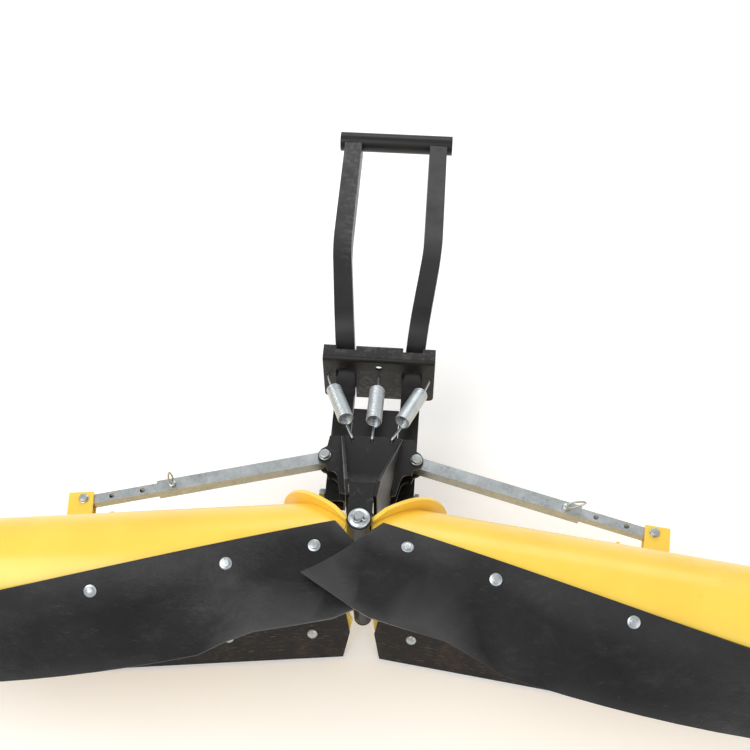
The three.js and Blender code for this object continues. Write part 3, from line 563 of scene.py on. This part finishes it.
def add_springs():
    for name, side in (("left", -1), ("middle", 0), ("right", 1)):
        node = f"trip_spring_{name}"
        x, y, z = FRONT_HOLE
        front_hole = PIN_TOP + Vector((side * x * IN, y * IN, z * IN))
        x, y, z = REAR_HOLE
        rear_hole = PIN_TOP + Vector((side * x * IN, y * IN - PLATE, z * IN))
        front = front_hole + FRONT_END
        coil_spring(f"coil_spring_{name}", front, rear_hole, front_hole, rear_hole, node)


# ---------- bolts, pins and welds ----------

REST_SWEEP = math.radians(7)
# Hexagon heads: width across flats, height, washer's radius. The flap bolts are low, so that the
# right flap clears the left wing's inner bolt with both wings forward.
FLAP_HEAD = (0.0127, 0.0034, 0.0105)
EAR_HEAD = (0.019, 0.0066, 0.0118)
CLEVIS_HEAD = (0.0152, 0.0054, 0.0095)
# How far each seat lies below the top of the CAD bolt or pin that the turned one stands for.
EAR_SEAT = 0.0078
CLEVIS_SEAT = 0.0066
COLLAR = 0.0053
SEAT_SINK = 0.0002
DOME_RADIUS = 0.0105
DOME_HEIGHT = 0.0048
HAIRPIN_WIRE = 0.00145
# Flap bolts on each side and wear-bar bolts, in inches outward and back along the wing.
FLAP_BOLTS = {1: ((3.5, -1.5), (9.4, -2.4), (18.3, -3.4), (27.0, -4.5), (34.6, -5.4)),
              -1: ((3.0, -1.65), (8.75, -2.5), (17.5, -3.65), (26.3, -4.8), (34.6, -5.8))}
WEAR_BAR_BOLTS = (4, 10.5, 17, 23.5, 30, 34.5)
WEAR_BAR_HEIGHT = -17.8


def wing_point(side, u, v, z):
    """A point given in metres outward and back along a resting wing, and up, from the pin's top."""
    a = REST_SWEEP
    x = u * math.cos(a) + v * math.sin(a)
    y = -u * math.sin(a) + v * math.cos(a)
    return PIN_TOP + Vector((side * x, y, z))


def surface_hit(name, origin, direction):
    """Where a ray meets a CAD node at rest: (point, normal)."""
    node = NODES[name]
    bvh = BVHTree.FromPolygons([v.co for v in node.data.vertices],
                               [p.vertices for p in node.data.polygons])
    point, normal, _, _ = bvh.ray_cast(origin, direction)
    return point, normal


def add_flap_bolts():
    """Hexagon bolts along each flap's bolt line, standing square on the rubber."""
    for word, side in SIDES.items():
        bm = bmesh.new()
        for u, v in FLAP_BOLTS[side]:
            place = wing_point(side, u * IN, v * IN, 0.2)
            point, normal = surface_hit(f"{word}_flap", place, -UP)
            if point is None:
                continue
            if normal.z < 0:
                normal = -normal
            hex_bolt(bm, point - normal * SEAT_SINK, normal, FLAP_HEAD, 0.3 + u)
        new_piece(f"{word}_flap_bolts", bm, "zinc_plate", f"wing_{word}")


def add_wear_bar_bolts():
    """Carriage bolts' domes along the front of each wear bar."""
    for word, side in SIDES.items():
        bm = bmesh.new()
        for u in WEAR_BAR_BOLTS:
            place = wing_point(side, u * IN, -14 * IN, WEAR_BAR_HEIGHT * IN)
            aim = (wing_point(side, u * IN, 0, WEAR_BAR_HEIGHT * IN) - place).normalized()
            point, normal = surface_hit(f"{word}_wear_bar", place, aim)
            if point is not None:
                domed_bolt(bm, point - normal * 0.0003, normal, DOME_RADIUS, DOME_HEIGHT)
        new_piece(f"{word}_wear_bar_bolts", bm, "zinc_plate", f"wing_{word}")


def add_ear_bolts():
    """The strut bolts through the ears: head and washer above, plain shank below."""
    for word in SIDES:
        node = f"strut_ear_bolt_{word}"
        low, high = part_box(node)
        seat = Vector(((low.x + high.x) / 2, (low.y + high.y) / 2, high.z - EAR_SEAT))
        bm = bmesh.new()
        hex_bolt(bm, seat, UP, EAR_HEAD, 0.45)
        lathe(bm, shank_rows(0.0063, low.z - seat.z), Matrix.Translation(seat), 24)
        piece = new_piece(f"ear_bolt_{word}", bm, "zinc_plate", "trip_frame")
        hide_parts(node)


def add_hinge_cotter():
    """A hairpin cotter through the hinge pin's top, with its eye to the right."""
    low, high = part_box("hinge_cotter")
    z = (low.z + high.z) / 2
    y = (low.y + high.y) / 2
    path = [Vector((low.x, y, z)), Vector((high.x - 0.004, y, z))]
    eye = 0.0042
    centre = Vector((high.x - 0.004, y - eye, z))
    for i in range(1, 15):
        a = math.pi / 2 - math.radians(300) * i / 14
        path.append(centre + Vector((eye * math.cos(a), eye * math.sin(a), 0)))
    tip = path[-1]
    path += bezier(tip, tip + Vector((-0.004, 0.001, 0)), Vector((0.005, y - 0.0126, z)),
                   Vector((-0.004, y - 0.0102, z)), 8)
    path += [Vector((-0.009, y - 0.0115, z))]
    bm = bmesh.new()
    sweep(bm, path, HAIRPIN_WIRE, 10)
    piece = new_piece("hinge_hairpin", bm, "zinc_plate", "trip_frame")
    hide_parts("hinge_cotter")


def add_hinge_washer():
    """The dished washer under the pin's hairpin, with a rounded rim."""
    low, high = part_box("hinge_washer")
    centre = (low + high) / 2
    reach = (high.x - low.x) / 2
    bore = 0.0082
    thick = high.z - low.z
    crown = ((0.97, 0), (1, 0.12), (1, 0.42), (0.965, 0.62), (0.86, 0.8), (0.68, 0.93), (0.6, 1), (0.5, 1),
             (0.47, 0.9))
    rows = [(bore, 0)] + [(reach * r, thick * z) for r, z in crown] + [(bore, thick * 0.82)]
    bm = bmesh.new()
    lathe(bm, rows, Matrix.Translation((centre.x, centre.y, low.z)), 48, closed=True)
    piece = new_piece("hinge_washer_dished", bm, "spring_wire", "trip_frame")
    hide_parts("hinge_washer")


def add_wing_welds():
    """Fillet beads along the top and bottom of each strut clevis, on the moldboard."""
    forward = Vector((0, -1, 0))
    for word in SIDES:
        low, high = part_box(f"{word}_strut_clevis")
        bm = bmesh.new()
        for z in (low.z + 0.001, high.z - 0.001):
            start, end = [surface_hit(f"{word}_moldboard", Vector((x, high.y + 0.05, z)), forward)[0]
                          for x in (low.x + 0.004, high.x - 0.004)]
            if start and end:
                weld_bead(bm, start, end, 0.0024, z)
        new_piece(f"{word}_wing_welds", bm, "painted_yellow", f"wing_{word}")


BAIL_WIRE = 0.0017
BAIL_HALF_WIDTH = 0.0072
BAIL_LEAN = math.radians(62)


def add_lock_pins():
    """Each lock pin: a collared head with a wire bail. The left bail stands, the right leans over."""
    for word, side in SIDES.items():
        pin_low, pin_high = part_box(f"lock_pin_{word}")
        centre = Vector(((pin_low.x + pin_high.x) / 2, (pin_low.y + pin_high.y) / 2, 0))
        seat = pin_high.z - COLLAR
        bm = bmesh.new()
        tip = pin_low.z - seat
        rows = [(0, tip), (0.0038, tip), (0.0044, tip + 0.0008), (0.0044, 0), (0.0074, 0),
                (0.0076, 0.0003), (0.0076, 0.0042), (0.0066, COLLAR), (0, COLLAR)]
        lathe(bm, rows, Matrix.Translation(centre + Vector((0, 0, seat))), 32)
        piece = new_piece(f"lock_pin_{word}_turned", bm, "zinc_plate", f"lock_{word}")
        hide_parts(f"lock_pin_{word}")
        low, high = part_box(f"lock_pin_bail_{word}")
        tall = high.z - low.z
        lean = 0.0 if side < 0 else BAIL_LEAN
        foot = Vector((centre.x, centre.y, seat + 0.003))
        bm = bmesh.new()
        path = [foot + bail_point(math.radians(10 * k), tall, lean) for k in range(37)]
        sweep(bm, path, BAIL_WIRE, 9)
        piece = new_piece(f"lock_bail_{word}", bm, "zinc_plate", f"lock_{word}")
        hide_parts(f"lock_pin_bail_{word}")


def bail_point(angle, tall, lean):
    """A teardrop loop rising from the pin's head, leaned over outwards."""
    rise = tall * (0.5 - 0.5 * math.cos(angle))
    across = BAIL_HALF_WIDTH * math.sin(angle) * (1 - 0.45 * rise / tall)
    return Vector((across * 0.35 + rise * math.sin(lean), across, 0.0012 + rise * math.cos(lean)))


def add_clevis_bolts():
    """The bolt down through each wing's strut clevis: head and washer above, plain shank below."""
    for word in SIDES:
        node = f"{word}_clevis_bolt"
        low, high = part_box(node)
        seat = Vector(((low.x + high.x) / 2, (low.y + high.y) / 2, high.z - CLEVIS_SEAT))
        bm = bmesh.new()
        hex_bolt(bm, seat, UP, CLEVIS_HEAD, 0.2)
        lathe(bm, shank_rows(0.0048, low.z - seat.z), Matrix.Translation(seat), 24)
        piece = new_piece(f"{word}_clevis_hex_bolt", bm, "zinc_plate", f"wing_{word}")
        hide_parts(node)


# A gusset's middle plane at its front and its rear end: inches across, inches behind the hinge pin.
GUSSET_FRONT = (0.93, 1.7)
GUSSET_REAR = (2.3, 11.2)


def gusset_x(y):
    """A gusset's middle plane across the frame, at y inches behind the hinge pin."""
    (x0, y0), (x1, y1) = GUSSET_FRONT, GUSSET_REAR
    return x0 + (x1 - x0) * (y - y0) / (y1 - y0)


def frame_point(x, y, z):
    """A point given in inches from the hinge pin's top."""
    return PIN_TOP + Vector((x * IN, y * IN, z * IN))


def add_frame_welds():
    """Beads along the gussets inside and out, and behind the crossmember beside each push tube; the ones
    beside the tubes also cover the notches' open sides as painted shade.
    """
    bm = bmesh.new()
    for side in (-1, 1):
        inner = [(gusset_x(y) - 0.13) * side for y in (2.9, 7.9, 11.0)]
        outer = [(gusset_x(y) + 0.14) * side for y in (6.6, 10.9)]
        beads = (((inner[0], 2.95, -0.66), (inner[1], 7.9, -8.66), 0.0026, side),
                 ((inner[1], 8.1, -8.73), (inner[2], 11.0, -8.73), 0.0026, side + 3),
                 ((outer[0], 6.6, -8.76), (outer[1], 10.9, -8.76), 0.0028, side + 5))
        for start, end, radius, seed in beads:
            weld_bead(bm, frame_point(*start), frame_point(*end), radius, seed)
    new_piece("trip_frame_welds", bm, "black_paint", "trip_frame")
    # Beside each push tube: partly a real weld, and in its upper part a dark fill over the notch's
    # see-through gap, which is painted shade.
    bm = bmesh.new()
    for side in (-1, 1):
        for x in (1.93, 3.55):
            top = frame_point(side * x, 18.72, -10.3)
            weld_bead(bm, top, frame_point(side * x, 18.72, -13.0), 0.003, x)
    new_piece("push_frame_welds_and_gap_shade", bm, "black_paint", "push_frame")


for node_name, node_object in NODES.items():
    finish_cad_node(node_name, node_object)

add_springs()
add_flap_bolts()
add_wear_bar_bolts()
add_ear_bolts()
add_clevis_bolts()
add_hinge_washer()
add_hinge_cotter()
add_lock_pins()
add_frame_welds()
add_wing_welds()

add_studio()
add_camera()
bpy.context.scene.view_settings.view_transform = "Standard"
